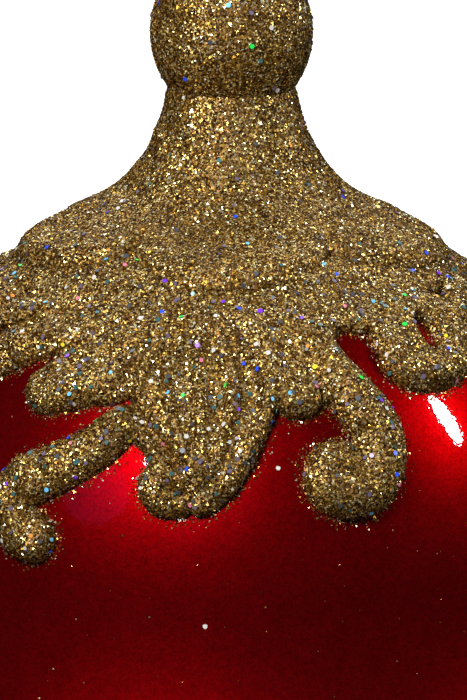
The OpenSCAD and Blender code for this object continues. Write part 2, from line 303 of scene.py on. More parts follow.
leaf_glitter = glitter_finish("leaf_glitter", 3000.0, 1.0)
crown_glitter = glitter_finish("crown_glitter", 3500.0, 0.9)
ball_glitter = glitter_finish("ball_glitter", 3300.0, 0.9)


def scatter(points, faces, per_mm2, draw):
    """Random places on a surface and its normals there, even over its area, at a density."""
    quads = faces[:, [0, 1, 2, 0, 2, 3]].reshape(-1, 3) if faces.shape[1] == 4 else faces
    a, b, c = (points[quads[:, k]] for k in range(3))
    cross = np.cross(b - a, c - a)
    double = np.linalg.norm(cross, axis=1)
    keep = double > 1e-9
    a, b, c, cross, double = a[keep], b[keep], c[keep], cross[keep], double[keep]
    count = int(double.sum() / 2 * per_mm2)
    which = np.searchsorted(np.cumsum(double) / double.sum(), draw.random(count))
    u, v = draw.random(count), draw.random(count)
    flip = u + v > 1
    u, v = np.where(flip, 1 - u, u)[:, None], np.where(flip, 1 - v, v)[:, None]
    at = a[which] + u * (b[which] - a[which]) + v * (c[which] - a[which])
    return at, cross[which] / double[which][:, None]


def grains(name, at, normals, body, draw, small=0.14, large=0.26, lean=0.33):
    """One closed three-cornered grain at each place, with its broad side up and a lean of its own.
    A few are coarser than the rest."""
    coarse_share, coarse_growth, half_thick = 0.07, 1.75, 0.3
    count = len(at)
    up = normals + draw.normal(size=(count, 3)) * lean
    up /= np.linalg.norm(up, axis=1)[:, None]
    side = np.cross(up, draw.normal(size=(count, 3)))
    side /= np.linalg.norm(side, axis=1)[:, None]
    other = np.cross(up, side)
    turn = np.radians((0, 120, 240))[None, :, None]
    size = draw.uniform(small, large, count)
    size = (size * np.where(draw.random(count) < coarse_share, coarse_growth, 1.0))[:, None, None]
    corner = np.cos(turn) * side[:, None] + np.sin(turn) * other[:, None]
    top = at[:, None] + size * (corner + half_thick * up[:, None])
    points = np.concatenate((top, at[:, None] - half_thick * size * up[:, None]), 1)
    sides = np.array([(0, 1, 2), (1, 0, 3), (2, 1, 3), (0, 2, 3)])
    faces = (sides[None] + 4 * np.arange(count)[:, None, None]).reshape(-1, 3)
    pick = np.repeat(draw.choice(len(grain_shares), count, p=grain_shares), 4)
    return solid(name, points.reshape(-1, 3), faces, body, "gold_glitter", grain_finishes,
                 pick=pick, smooth=False)


def flakes(name, at, normals, body, draw, across=0.95, thick=0.05, lean=0.175, lift=0.24):
    """A thin closed hexagonal flake at each place, lying nearly flat on the surface."""
    count = len(at)
    up = normals + draw.normal(size=(count, 3)) * lean
    up /= np.linalg.norm(up, axis=1)[:, None]
    side = np.cross(up, draw.normal(size=(count, 3)))
    side /= np.linalg.norm(side, axis=1)[:, None]
    other = np.cross(up, side)
    turn = np.radians(np.arange(6) * 60)
    reach = across / 2 * draw.uniform(0.75, 1.1, count)[:, None, None]
    ring = reach * (np.cos(turn)[None, :, None] * side[:, None]
                    + np.sin(turn)[None, :, None] * other[:, None])
    middle = (at + normals * lift)[:, None]
    half = up[:, None] * thick / 2
    points = np.concatenate((middle + ring - half, middle + ring + half), 1).reshape(-1, 3)
    k = np.arange(6)
    walls = np.stack((k, (k + 1) % 6, (k + 1) % 6 + 6, k + 6), -1)
    start = 12 * np.arange(count)[:, None, None]
    low = (k[::-1][None, None] + start).reshape(-1, 6)
    high = (k[None, None] + 6 + start).reshape(-1, 6)
    side_faces = (walls[None] + start).reshape(-1, 4)
    tint = draw.choice(len(flake_shares), count, p=flake_shares)
    pick = np.concatenate((tint, tint, np.repeat(tint, 6)))
    return solid(name, points, [low, high, side_faces], body, "gold_glitter", flake_finishes,
                 pick=pick, smooth=False)


grain_lift = 0.05


def glitter_on(name, points, faces, body, seed, grain_density, flake_density):
    """Grains and flakes over a painted surface, each kind at so many to a square millimetre."""
    draw = np.random.default_rng(seed)
    at, normals = scatter(points, faces, grain_density, draw)
    grains(name + "_grains", at + normals * grain_lift, normals, body, draw)
    at, normals = scatter(points, faces, flake_density, draw)
    flakes(name + "_flakes", at, normals, body, draw)


# Lip band. A round bead under the same gold glitter paint, slotted along its top and pushed up over
# the lip, where it hides the shell's raw edge.
bead = 6.4
lip_r = waist_out - waist_r * math.cos(math.radians(waist_turn))
lip_z = -straight_h - waist_r * math.sin(math.radians(waist_turn))
slot_half = wall / 2 + 0.1
slot_floor = 1.0
lip_steps, lip_arc_points = 360, 40


def lip_place(across, up):
    """A point of the bead's own section, which leans with the lip, as (radius, height)."""
    lean = math.radians(waist_turn)
    x, z = across - wall / 2, up - slot_floor
    out, rise = math.cos(lean), math.sin(lean)
    return lip_r + x * out - z * rise, lip_z + x * rise + z * out


slot_angle = math.degrees(math.asin(slot_half / (bead / 2)))
lip_outline = [lip_place(x, z) for x, z in
               arc(0, 0, bead / 2, 90 + slot_angle, 450 - slot_angle, lip_arc_points)
               + [(slot_half, slot_floor), (-slot_half, slot_floor)]]
lip_points, lip_faces = lathe(lip_outline, lip_steps)
solid("lip_band_glittered", lip_points, lip_faces, "bell", "gold_glitter", [crown_glitter],
      "lip_band")
outer_side = lip_faces.reshape(lip_steps, -1, 4)[:, :lip_arc_points - 1].reshape(-1, 4)
glitter_on("lip_band", lip_points, outer_side, "bell", seed=11, grain_density=3.0,
           flake_density=0.01)

# Crown. A hollow moulding that sits on the dome: a trumpet neck that flares out onto a collar of
# five scallops, with a crease between each two. It is covered in gold glitter, and the plug under
# the ball locates it.
neck_curve = np.array([(11.6, crown_top), (15.08, crown_top - 16.6), (23.5, 61.2), (31.7, 57.8)])
scallop_count = 5
scallop_out = 22.0
scallop_r = 17.7
collar_low = 50.4
collar_edge = 2.7
collar_start = 24.0
collar_droop = 0.36
collar_level = 58.0
crease_depth, crease_half, crease_fade = 1.0, 0.9, 5.0
seated_in = 0.3
crown_steps, neck_rows, top_rows, under_rows = 720, 44, 56, 30
crown_rows_outside = 105

t = np.linspace(0, 1, 200)[:, None]
neck = ((1 - t) ** 3 * neck_curve[0] + 3 * (1 - t) ** 2 * t * neck_curve[1]
        + 3 * (1 - t) * t ** 2 * neck_curve[2] + t ** 3 * neck_curve[3])
azimuth = np.radians(np.arange(crown_steps) * 360 / crown_steps)[:, None]
scallop_at = np.radians(np.arange(scallop_count) * 360 / scallop_count)
off = (azimuth - scallop_at[None, :] + math.pi) % (2 * math.pi) - math.pi
nearest = off[np.arange(crown_steps), np.abs(off).argmin(1)][:, None]
reach = (scallop_out * np.cos(nearest)
         + np.sqrt(scallop_r ** 2 - (scallop_out * np.sin(nearest)) ** 2))


def edge_drop(r):
    """How far the collar's rounded edge has dropped, at a radius on each azimuth."""
    from_middle = np.sqrt(r ** 2 + scallop_out ** 2 - 2 * r * scallop_out * np.cos(nearest))
    inside = scallop_r - from_middle
    short = np.clip(collar_edge - inside, 0, collar_edge)
    return collar_edge - np.sqrt(collar_edge ** 2 - short ** 2)


def crown_wave(r, z):
    """The casting's slow unevenness, in millimetres."""
    x, y = r * np.sin(azimuth), -r * np.cos(azimuth)
    slow = 0.16 * np.sin(0.34 * x + 0.21 * z + 1.0) * np.sin(0.29 * y - 0.17 * z)
    return slow + 0.10 * np.sin(0.8 * x + 0.6 * z)


def crown_top_z(r):
    """The height of the crown's upper side beyond the neck."""
    beyond_neck = np.clip(r - neck[-1, 0], 0, None)
    level = np.interp(r, neck[:, 0], neck[:, 1]) - collar_droop * beyond_neck
    to_crease = np.abs(np.pi / scallop_count - np.abs(nearest)) * r
    depth = crease_depth * np.exp(-(to_crease / crease_half) ** 2)
    return level - edge_drop(r) - depth * np.clip((r - collar_start) / crease_fade, 0, 1)


rows_r, rows_z = [], []
seat_rim = [(stem_hole_r, crown_top), (10.5, crown_top), (11.1, crown_top + 0.8),
            (11.4, crown_top + 0.4)]
for r, z in seat_rim:
    rows_r.append(np.full((crown_steps, 1), r))
    rows_z.append(np.full((crown_steps, 1), z))
neck_length = np.concatenate(([0], np.cumsum(np.hypot(*np.diff(neck, axis=0).T))))
neck_end = np.interp(collar_start, neck[:, 0], neck_length)
for along in np.linspace(0.5, neck_end, neck_rows):
    r, z = (np.interp(along, neck_length, neck[:, k]) for k in (0, 1))
    fade = np.clip(along / 4, 0, 1)
    rows_r.append(np.full((crown_steps, 1), r) + crown_wave(r, z) * fade)
    rows_z.append(np.full((crown_steps, 1), z))
for share in np.sin(np.linspace(0, np.pi / 2, top_rows))[1:]:
    r = collar_start + (reach - collar_start) * share
    rows_r.append(r)
    rows_z.append(crown_top_z(r) + crown_wave(r, collar_level) * (1 - share))
for share in np.cos(np.linspace(0, np.pi / 2, under_rows))[1:]:
    r = stem_hole_r + (reach - stem_hole_r) * share
    under = np.sqrt(np.clip((dome_r - seated_in) ** 2 - r ** 2, 0, None))
    rows_r.append(r)
    rows_z.append(np.maximum(collar_low + edge_drop(r), under))
crown_r, crown_z = np.concatenate(rows_r, 1), np.concatenate(rows_z, 1)
crown_points = np.stack((crown_r * np.sin(azimuth), -crown_r * np.cos(azimuth), crown_z), -1)
crown_rows = crown_points.shape[1]
crown_faces = grid_faces(crown_steps, crown_rows)[:, ::-1]
crown_points = crown_points.reshape(-1, 3)
solid("crown_glittered", crown_points, crown_faces, "bell", "gold_glitter", [crown_glitter], "crown",
      sharp=60)
crown_outside = crown_faces.reshape(crown_steps, crown_rows, 4)[:, :crown_rows_outside]
glitter_on("crown", crown_points, crown_outside.reshape(-1, 4), "bell", seed=12,
           grain_density=8.0, flake_density=0.016)

# Leaves and scrolls. Acanthus castings, three of each, glued to the dome under the crown's collar.
# Each is relief on the dome: broad blades with ribs, and rounded strokes that curl into scrolls.
# Places are (azimuth, latitude) in degrees on the dome, and widths are in millimetres.
cell = 0.34
blend = 5
thickest = 5.0
root_latitudes = (43, 47, 51, 55, 58, 61)
root_heights = (0, 1.0, 1.8, 2.2, 2.0, 1.5)
collar_latitude, ribs_start, ribs_fade = 52, 50.5, 6
root_edge, rim_edge = 2.5, 1.6
rim_sunk, back_sunk, least_height = 0.35, 0.6, 0.15


def on_dome(azimuths, latitudes):
    """Directions from the dome's centre. Azimuth runs to the right from the front."""
    a, b = np.radians(azimuths), np.radians(latitudes)
    return np.stack((np.cos(b) * np.sin(a), -np.cos(b) * np.cos(a), np.sin(b)), -1)


def curve(knots, closed=False, steps=14):
    """A smooth line through its knots, which may carry a width too."""
    p = np.array(knots, float)
    p = np.concatenate((p[-1:], p, p[:2])) if closed else np.concatenate((p[:1], p, p[-1:]))
    s = np.linspace(0, 1, steps, endpoint=False)[:, None]
    runs = []
    for a, b, c, d in zip(p[:-3], p[1:-2], p[2:-1], p[3:]):
        bend = 2 * a - 5 * b + 4 * c - d + s * (3 * (b - c) + d - a)
        runs.append(b + 0.5 * s * (c - a + s * bend))
    return np.concatenate(runs + ([] if closed else [p[-1:]]))


def gap_to(places, line):
    """Distances in millimetres from each place to each point of a line, over the dome."""
    return dome_r * np.sqrt(np.clip(2 - 2 * places @ on_dome(line[:, 0], line[:, 1]).T, 0, None))


def inside_outline(az, lat, line):
    """Whether each place lies inside a closed line."""
    x1, y1 = line[:, 0], line[:, 1]
    x2, y2 = np.roll(x1, -1), np.roll(y1, -1)
    a, b = az[:, None], lat[:, None]
    crosses = (y1 > b) != (y2 > b)
    meets = x1 + (b - y1) * (x2 - x1) / np.where(y2 == y1, 1e-9, y2 - y1)
    return (crosses & (a < meets)).sum(1) % 2 == 1


def rounded(depth, edge):
    """0 at a rim and 1 further in than edge, along a quarter of an ellipse."""
    return np.sqrt(1 - (1 - np.clip(depth / edge, 0, 1)) ** 2)


def relief(turn, az_span, lat_span, blades, strokes, ribs, holes=()):
    """The casting's grid of places, its height over the dome and how far in from its rim each lies.
    Its root rises to meet each scallop and the rest stays low beside it, so its shape depends on
    how far round the dome the casting is turned. Its top edge ends square under the collar."""
    az = np.arange(az_span[0], az_span[1], cell)
    lat = np.arange(lat_span[0], lat_span[1], cell)
    az_all, lat_all = (g.ravel() for g in np.meshgrid(az, lat, indexing="ij"))
    places = on_dome(az_all, lat_all)
    depth = np.full(len(places), -1e3)
    swell = np.zeros(len(places))
    for outline, thick, edge in blades:
        line = curve(outline, closed=True)
        nearest_rim = gap_to(places, line).min(1)
        within = np.where(inside_outline(az_all, lat_all, line), nearest_rim, -nearest_rim)
        depth = np.maximum(depth, within)
        swell += (thick * rounded(within, edge)) ** blend
    for knots, lift in strokes:
        line = curve(knots)
        gaps = gap_to(places, line)
        depth = np.maximum(depth, (line[:, 2] - gaps).max(1))
        tube = line[:, 2] * np.sqrt(np.clip(1 - (gaps / line[:, 2]) ** 2, 0, None))
        swell += (lift * tube.max(1)) ** blend
    under = (0.5 + 0.5 * np.cos(np.radians(scallop_count * (az_all + turn)))) ** 0.7
    root = np.interp(lat_all, root_latitudes, root_heights) * (0.3 + 0.7 * under)
    root_swell = np.where(depth > 0, root * rounded(depth, root_edge), 0) ** blend
    height = (swell + root_swell) ** (1 / blend)
    below_collar = np.clip(collar_latitude - lat_all, 0, None)
    room = 0.3 + 0.06 * (0.35 + 0.65 * under) * below_collar ** 2
    height = np.minimum(height, root + room)
    clear_of_root = np.clip((ribs_start - lat_all) / ribs_fade, 0, 1)
    for knots, rise, spread in ribs:
        near = gap_to(places, curve(knots)).min(1)
        height += rise * np.exp(-(near / spread) ** 2) * np.clip(height, 0, 1) * clear_of_root
    for hole_az, hole_lat, half_az, half_lat in holes:
        span = np.hypot((az_all - hole_az) / half_az, (lat_all - hole_lat) / half_lat)
        depth = np.minimum(depth, (span - 1) * half_az)
    x, y, z = (places * dome_r).T
    height *= 1 + 0.05 * np.sin(0.9 * x + 0.4 * z) + 0.05 * np.sin(0.8 * z - 0.6 * y + 0.7 * x)
    height = np.clip(np.minimum(height, thickest * rounded(depth, rim_edge)), 0, None)
    depth = np.where(lat_all == lat[-1], np.minimum(depth, -0.01), depth)
    shape = (len(az), len(lat))
    return tuple(g.reshape(shape) for g in (az_all, lat_all, height, depth))


def casting_mesh(az, lat, height, depth):
    """The relief as one closed mesh: its face, and a back that lies just inside the dome."""
    step_lat = dome_r * math.radians(cell)
    step_az = step_lat * np.cos(np.radians(lat))
    slope_az, slope_lat = np.gradient(depth)
    slope_az, slope_lat = slope_az / step_az, slope_lat / step_lat
    steep = np.maximum(np.hypot(slope_az, slope_lat), 0.3)
    outside = depth <= 0
    push = np.where(outside, np.clip(-depth, 0, 1.5 * step_lat) / steep ** 2, 0)
    az = az + np.degrees(push * slope_az / (dome_r * np.cos(np.radians(lat))))
    lat = lat + np.degrees(push * slope_lat / dome_r)
    quads = grid_faces(*depth.shape, False, False)
    quads = quads[(~outside.ravel()[quads]).any(1)]
    radius = np.where(outside, dome_r - rim_sunk, dome_r + np.maximum(height, least_height))
    way = on_dome(az, lat).reshape(-1, 3)
    face = way * radius.ravel()[:, None]
    used = np.unique(quads)
    number = np.full(len(face), -1)
    number[used] = np.arange(len(used))
    shared = outside.ravel()[used]
    back_number = np.where(shared, np.arange(len(used)), len(used) + np.cumsum(~shared) - 1)
    back = way[used[~shared]] * (dome_r - back_sunk)
    front_faces = number[quads]
    return np.concatenate((face[used], back)), front_faces, back_number[front_faces][:, ::-1]


def ragged_rim(az, lat, depth, draw, per_mm2=20.0, fade=0.55, spread=2.2, lift=0.06):
    """Places for stray grains just outside a casting's rim."""
    area = (dome_r * math.radians(cell)) ** 2 * np.cos(np.radians(lat))
    beside = (depth < 0.15) & (depth > -spread)
    chance = np.where(beside, area * per_mm2 * np.exp(np.minimum(depth, 0) / fade), 0)
    i, j = np.nonzero(draw.random(depth.shape) < chance)
    jitter = draw.uniform(-0.5, 0.5, (2, len(i))) * cell
    return on_dome(az[i, j] + jitter[0], lat[i, j] + jitter[1]) * (dome_r + lift)


def castings(kind, seed, grain_density, flake_density, *pattern):
    """The three castings of one kind, a third of a turn apart, with their glitter."""
    for place, degrees in (("front", 0), ("right", 120), ("left", -120)):
        az, lat, height, depth = relief(degrees, *pattern)
        az = az + degrees
        points, front_faces, back_faces = casting_mesh(az, lat, height, depth)
        name = kind + "_" + place
        solid(name + "_glittered", points, np.concatenate((front_faces, back_faces)), "bell",
              "gold_glitter", [leaf_glitter], name, sharp=80)
        glitter_on(name, points, front_faces, "bell", seed + degrees, grain_density,
                   flake_density)
        draw = np.random.default_rng(seed + degrees + 1)
        rim = ragged_rim(az, lat, depth, draw)
        grains(name + "_rim_grains", rim, rim / dome_r, "bell", draw, lean=0.6)


# The leaf: a ribbed fan over the middle, two long fingers to its left, a small lobe to its right,
# a curl under its tip and a vine that runs from the curl out to a scroll.
fan_outline = [(-16, 60), (-17, 47), (-19.5, 37), (-18.5, 31), (-15, 27.6), (-11.5, 24),
               (-8.5, 19.5), (-6.5, 14.5), (-3.5, 14.6), (-1, 16.5), (2.5, 20.5), (5.6, 26),
               (8.8, 32), (11, 38), (11.5, 45), (12, 60)]
finger_outline = [(-12, 60), (-12, 46), (-16, 36), (-22, 32), (-28, 31.4), (-33.5, 29.7),
                  (-38.2, 28.9), (-41.6, 31.2), (-42.5, 34.6), (-40, 37.2), (-37.3, 39.6),
                  (-43, 38), (-47.5, 35.9), (-52, 33.6), (-57, 34.5), (-58.8, 38),
                  (-55.5, 42), (-51, 46), (-55, 49), (-61, 50), (-61, 60)]
leaf_blades = [(fan_outline, 2.7, 2.6), (finger_outline, 2.3, 2.4)]
leaf_strokes = [
    ([(-8.5, 15.8, 2.2), (-11.6, 16.6, 2.9), (-12.9, 18.8, 3.2), (-11.3, 20.8, 3.2),
      (-9, 20, 3)], 1.1),
    ([(-12.0, 22.2, 2.4), (-13.7, 25.2, 2.3), (-16.6, 27.8, 2.6), (-19.6, 29.0, 3.1)], 1.2),
    ([(-17.5, 30, 2.6), (-20.9, 27.8, 3.7), (-24.5, 24.4, 4), (-31.6, 20.2, 4.5), (-37, 17.4, 4.8),
      (-38.6, 13.4, 4.7), (-37, 10, 4.5), (-34, 9, 4.5)], 0.9),
    ([(5, 40, 2.6), (9, 36.5, 3.2), (11.8, 33.6, 3.8), (13.6, 33.4, 3.6)], 1.0),
    ([(-12, 46, 2.6), (-16.5, 40.6, 3), (-22, 37, 3.4), (-29, 34.2, 3.6), (-35.5, 32.6, 3.6),
      (-38.4, 32.4, 3.3)], 1.0),
    ([(-28, 50, 2.4), (-34, 47.4, 2.8), (-40, 44.2, 3), (-46.5, 40.6, 3.2),
      (-53.5, 37.4, 3.2)], 1.1),
    ([(-43, 52, 2.4), (-50.5, 49.2, 2.7), (-56, 45.8, 2.8), (-60.5, 43, 2.6)], 1.1),
]
leaf_ribs = [
    ([(-6.5, 50), (2, 47.2), (6.8, 43.3), (9, 39.5)], 1.5, 1.5),
    ([(-7, 49), (-6.8, 41), (-5.9, 32), (-5.2, 19)], 1.2, 1.1),
    ([(-6, 48.5), (-2, 42), (0.2, 35), (-0.5, 29), (-3.6, 21)], 1.1, 1.0),
    ([(-8.4, 48), (-11.4, 41), (-12.4, 35), (-9.4, 27.5), (-6.4, 21)], 1.1, 1.0),
    ([(-5, 49), (1.4, 42), (6, 36.7), (5.6, 32)], 1.1, 1.0),
    ([(-10, 48.5), (-15.2, 42), (-17.4, 36), (-17.6, 33)], 1.0, 1.0),
    ([(8.4, 36), (6, 30), (3, 24), (-0.6, 18.6)], 1.0, 1.3),
    ([(-18.8, 31.2), (-15.1, 27.9), (-11.3, 24.5), (-9, 21.6)], -1.5, 1.0),
    ([(-13.5, 46), (-18.6, 39.5), (-21, 36.4)], -1.3, 0.9),
    ([(-24, 47), (-31, 43), (-37.2, 39.8)], -1.6, 1.3),
    ([(-38, 50), (-45, 46.6), (-51, 43.2)], -1.5, 1.2),
]
leaf_azimuths, leaf_latitudes = (-64, 20), (2, 61)
leaf_seed, leaf_grains, leaf_flakes = 300, 9.0, 0.075
castings("leaf", leaf_seed, leaf_grains, leaf_flakes, leaf_azimuths, leaf_latitudes, leaf_blades,
         leaf_strokes, leaf_ribs)

# The scroll to the leaf's right: a band under the collar, a thick scroll that drops and curls in
# on itself, and a ring scroll with an open eye.
band_outline = [(8, 60), (9, 45), (11.5, 37.5), (16, 33.6), (18.7, 32.2), (21, 36), (23.2, 42.5),
                (25.6, 45.4), (30.6, 44.2), (36, 45.6), (44, 47), (60, 50), (62, 60)]
ring_outline = [(33, 58), (32.6, 46), (32.6, 40.5), (33.2, 36.6), (36.4, 33.6), (41.5, 32.3),
                (48, 32.5), (54.5, 35.2), (58.4, 40), (59, 46), (56, 51), (50, 58)]
scroll_blades = [(band_outline, 2.2, 2.4), (ring_outline, 2.1, 2.4)]
scroll_strokes = [
    ([(17, 49, 2.2), (18.8, 44, 2.9), (20.4, 38.6, 3.8), (23.3, 33.6, 4.6), (25.8, 29.4, 4.9),
      (27, 25.4, 4.8), (26.2, 21.2, 4.8), (23.4, 18.2, 4.9), (19.6, 17.4, 4.7),
      (16.8, 19, 4.6), (17.2, 21.8, 4.2), (20, 22.2, 3.9)], 0.95),
    ([(22, 49, 2.2), (26, 47.6, 2.6), (30, 47, 2.4), (33.6, 47.4, 2.8), (40, 50, 2.6)], 1.15),
    ([(36, 50, 2.5), (44, 49.8, 2.8), (51.5, 48.2, 3), (55.4, 44, 3.1), (54, 39, 3.2),
      (48.5, 36, 3.2), (42, 35.6, 3.2), (37.2, 37.4, 3.1), (36.6, 41, 2.9), (39.6, 44, 2.2)], 1.05),
]
scroll_ribs = [
    ([(23.4, 26.6), (21.6, 24.4), (20.4, 20.4)], -0.9, 0.8),
    ([(12, 50), (13.4, 42), (16, 36)], -0.7, 1.0),
    ([(25, 52), (35, 51.4), (46, 52.4)], -0.8, 1.0),
]
scroll_azimuths, scroll_latitudes = (6, 64), (8, 61)
ring_eye = (47.0, 42.2, 3.1, 3.6)
scroll_seed, scroll_grains, scroll_flakes = 700, 9.0, 0.065
castings("scroll", scroll_seed, scroll_grains, scroll_flakes, scroll_azimuths, scroll_latitudes,
         scroll_blades, scroll_strokes, scroll_ribs, [ring_eye])

# Stray glitter. Loose grains and a few flakes, shaken off the castings and the crown, that have
# settled on the red lacquer and stuck there.
dust = np.random.default_rng(41)
dusted_rows = slice(20, 130)
stray_grains_per_mm2, stray_flakes_per_mm2 = 0.035, 0.0008
dusted = shell_faces.reshape(shell_steps, -1, 4)[:, dusted_rows].reshape(-1, 4)
stray_at, stray_normals = scatter(shell_points, dusted, stray_grains_per_mm2, dust)
grains("stray_grains", stray_at + stray_normals * grain_lift, stray_normals, "bell", dust,
       small=0.10, large=0.18)
stray_at, stray_normals = scatter(shell_points, dusted, stray_flakes_per_mm2, dust)
flakes("stray_flakes", stray_at, stray_normals, "bell", dust, lift=0.02, lean=0.05)

# Finial. A ball in two moulded halves that lap at the middle, joined and then glittered together.
# A plug under it keys it to the crown, and a steel spacer inside keeps the nut from crushing it.
ball_r = 14.5
ball_half_h = 15.8
ball_wall = 1.6
ball_z = crown_top + 0.685 * ball_half_h
ball_steps, upper_rows, lower_rows = 300, 64, 48
cap_seat_r = 3.6


def ball_arc(inset, start, end, steps):
    """Points (radius, height) on the ball's outside, or inside its wall, between two angles."""
    turn = np.radians(np.linspace(start, end, steps))
    return list(zip((ball_r - inset) * np.cos(turn), ball_z + (ball_half_h - inset) * np.sin(turn)))


top_open = math.degrees(math.acos(cap_seat_r / ball_r))
low_edge = math.degrees(math.asin((crown_top - ball_z) / ball_half_h))
upper_outline = (ball_arc(0, 0.1, top_open, upper_rows)
                 + ball_arc(ball_wall, top_open - 1.6, 8, 40)
                 + [(11.6, ball_z - 2.5), (12.5, ball_z - 2.5), (12.8, ball_z + 0.02)])
lower_outline = (ball_arc(0, low_edge, -0.1, lower_rows)
                 + ball_arc(ball_wall, -0.1, low_edge + 4, 30)
                 + [(6.2, crown_top + ball_wall), (6.2, crown_top + 0.02)])
for name, outline, rows, seed in (("finial_upper_half", upper_outline, upper_rows, 21),
                                  ("finial_lower_half", lower_outline, lower_rows, 22)):
    points, faces = lathe(outline, ball_steps)
    solid(name + "_glittered", points, faces, "bell", "gold_glitter", [ball_glitter], name)
    skin = faces.reshape(ball_steps, -1, 4)[:, :rows - 1].reshape(-1, 4)
    glitter_on(name, points, skin, "bell", seed, grain_density=9.0, flake_density=0.028)

# Fittings. Turned and bent steel, plated: the cap on the ball, the eye bolt with its long threaded
# stem, the hanging ring, the washer and nut that pull the stack together, and the sleeve with its
# eye and the link that carry the clapper.


def plated(name, colour, roughness):
    """Plated metal, with fine scratches in its gloss and a slight cloudiness."""
    def gloss(tree):
        return ramp(tree, clouds(tree, 1600.0, 4.0), (0.35, (roughness * 0.8,) * 3),
                    (0.7, (roughness * 1.35,) * 3))

    def tone(tree):
        return ramp(tree, clouds(tree, 300.0, 3.0), (0.3, tuple(0.86 * c for c in colour)),
                    (0.7, colour))

    return finish_of(name, tone, 1.0, gloss)


steel = plated("plated_steel", (0.62, 0.62, 0.61), 0.26)
gold_wire = plated("gold_wire", (0.95, 0.68, 0.30), 0.22)
gold_cap = plated("gold_cap", (0.90, 0.62, 0.26), 0.28)


def loop(radius, wire, centre_z, across, span=360.0, start=0.0, steps=96, sides=24):
    """A ring of round wire, closed or with a gap. It stands across X or across Y."""
    turn = np.radians(start + np.linspace(0, span, steps, endpoint=span < 360))[:, None]
    ring = np.radians(np.arange(sides) * 360 / sides)[None, :]
    out = radius + wire * np.cos(ring)
    flat, up = out * np.cos(turn), out * np.sin(turn) + centre_z
    deep = wire * np.sin(ring) * np.ones_like(turn)
    points = np.stack((flat, -deep, up) if across == "X" else (deep, flat, up), -1)
    return points.reshape(-1, 3), grid_faces(steps, sides, rows_close=span >= 360)


def ends_capped(points, faces, sides=24):
    """The same mesh with its two open ends closed."""
    last = len(points) - sides
    return [faces, np.arange(sides)[None], (last + np.arange(sides))[None, ::-1]]


def joined(*parts):
    """Several meshes as one."""
    points, groups, start = [], [], 0
    for some, faces in parts:
        groups += [g + start for g in (faces if isinstance(faces, list) else [faces])]
        points.append(some)
        start += len(some)
    return np.concatenate(points), groups


def threaded(major, pitch, low, high, sides=36, rows_per_turn=8):
    """A rod with a true helical thread, closed at both ends."""
    thread_depth, end_relief, run_out = 0.32, 0.25, 0.6
    z = np.linspace(low, high, int((high - low) / pitch * rows_per_turn))[:, None]
    turn = np.arange(sides)[None, :] / sides
    wave = np.abs(2 * ((z / pitch - turn) % 1) - 1)
    fade = np.clip(np.minimum(z - low, high - z) / run_out, 0, 1)
    r = major - thread_depth * (1 - wave) * fade - end_relief * (1 - fade)
    angle = 2 * np.pi * turn
    points = np.stack((r * np.cos(angle), r * np.sin(angle), z * np.ones_like(turn)), -1)
    faces = grid_faces(len(z), sides, rows_close=False)[:, ::-1]
    return points.reshape(-1, 3), [faces, np.arange(sides)[None, ::-1],
                                   (len(z) * sides - sides + np.arange(sides))[None]]


cap_top = ball_z + ball_half_h + 1.5
cap_outline = [(2.2, cap_top - 0.8), (5.2, cap_top - 0.8), (5.5, cap_top - 1.1),
               (5.5, cap_top - 2.5), (6.0, cap_top - 2.57), (6.2, cap_top - 2.4),
               (6.2, cap_top - 0.6), (6.05, cap_top - 0.2), (5.7, cap_top), (2.2, cap_top)]
solid("top_cap_pressed", *lathe(cap_outline, 96), "bell", "gold_cap", [gold_cap], "top_cap")

stem_r = 2.0
stem_end = 46.6
stem_pitch = 0.7
eye_hole_r, eye_wire = 2.9, 1.3
flange_h, eye_sink = 1.0, 0.4
eye_z = cap_top + flange_h + 2 * eye_wire + eye_hole_r - eye_sink
flange_outline = [(0.2, cap_top), (3.2, cap_top), (3.4, cap_top + 0.2),
                  (3.4, cap_top + flange_h), (3.2, cap_top + 1.2), (1.5, cap_top + 1.3),
                  (1.3, cap_top + 2.2), (0.2, cap_top + 2.2)]
solid("hanger_eye_bolt", *joined(loop(eye_hole_r + eye_wire, eye_wire, eye_z, "Y"),
                                 lathe(flange_outline, 64),
                                 threaded(stem_r, stem_pitch, stem_end, cap_top)),
      "bell", "gold_wire", [gold_wire], "hanger_eye")

ring_r, ring_wire, ring_clearance = 8.5, 1.1, 0.15
ring_z = eye_z + eye_hole_r - ring_clearance - ring_wire + ring_r
ring_points, ring_faces = loop(ring_r, ring_wire, ring_z, "X", span=357.5, start=91.25, steps=140)
solid("hanging_ring_bent", ring_points, ends_capped(ring_points, ring_faces), "ring",
      "gold_wire", [gold_wire], "hanging_ring")

washer_h = 1.2
washer_low = boss_low - washer_h
washer_outline = [(2.2, washer_low), (6.3, washer_low), (6.5, washer_low + 0.2),
                  (6.5, boss_low - 0.2), (6.3, boss_low), (2.2, boss_low)]
solid("inner_washer_steel", *lathe(washer_outline, 96), "bell", "plated_steel", [steel],
      "inner_washer")

